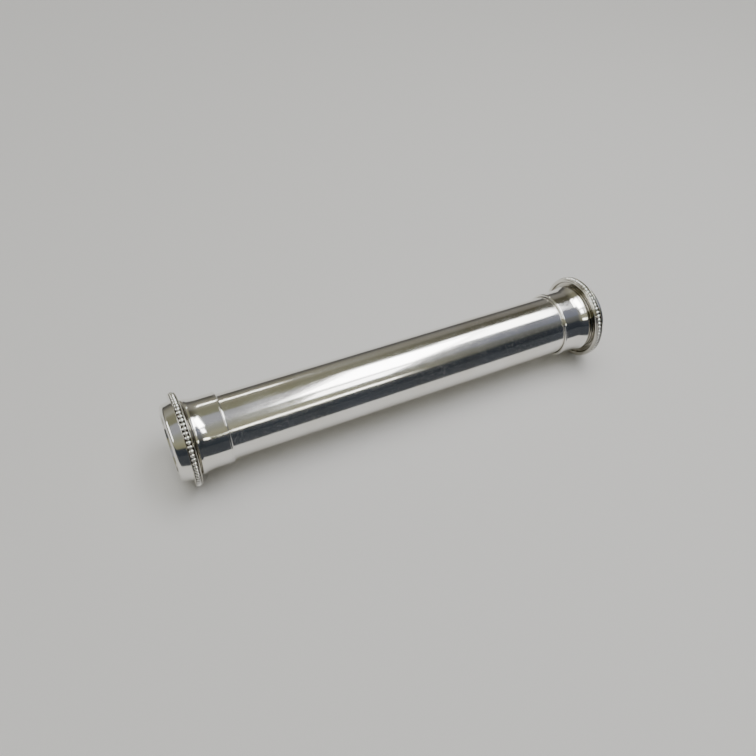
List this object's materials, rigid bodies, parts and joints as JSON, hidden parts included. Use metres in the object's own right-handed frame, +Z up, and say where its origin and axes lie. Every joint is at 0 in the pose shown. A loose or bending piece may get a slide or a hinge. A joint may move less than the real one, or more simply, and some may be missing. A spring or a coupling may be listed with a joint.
{
  "type": "scroll case",
  "caption": "Polished silver-plated tube for a rolled document, closed at each end by a push-on cap with a beaded flange and a short round foot.",
  "frame": {"origin": "under the middle of the tube, on the surface that the two flanges rest on", "axes": "+X along the tube from the left cap to the right cap, +Z up with the case lying on its flanges, +Y away from the viewer"},
  "size_m": [0.2956, 0.0568, 0.0567],
  "materials": {
    "plated_sheet": "silver plate, mirror polished, light handling marks",
    "plated_beading": "silver plate, polished, darker between the beads",
    "felt": "short-pile navy felt",
    "lining": "matt paper lining"
  },
  "bodies": {
    "tube_body": {"tube": "plated_sheet", "tube_liner": "lining"},
    "left_cap": {"left_sleeve": "plated_sheet", "left_mouth_ring": "plated_sheet", "left_grip_liner": "felt", "left_end_pad": "felt", "left_flange": "plated_sheet", "left_beading": "plated_beading", "left_foot": "plated_sheet", "left_base_plate": "plated_sheet"},
    "right_cap": {"right_sleeve": "plated_sheet", "right_mouth_ring": "plated_sheet", "right_grip_liner": "felt", "right_end_pad": "felt", "right_flange": "plated_sheet", "right_beading": "plated_beading", "right_foot": "plated_sheet", "right_base_plate": "plated_sheet"}
  },
  "joints": [
    {"name": "left_cap_slide", "type": "slide", "parent": "tube_body", "child": "left_cap", "axis": [-1, 0, 0], "range_m": [0, 0.06]},
    {"name": "right_cap_slide", "type": "slide", "parent": "tube_body", "child": "right_cap", "axis": [1, 0, 0], "range_m": [0, 0.06]}
  ]
}
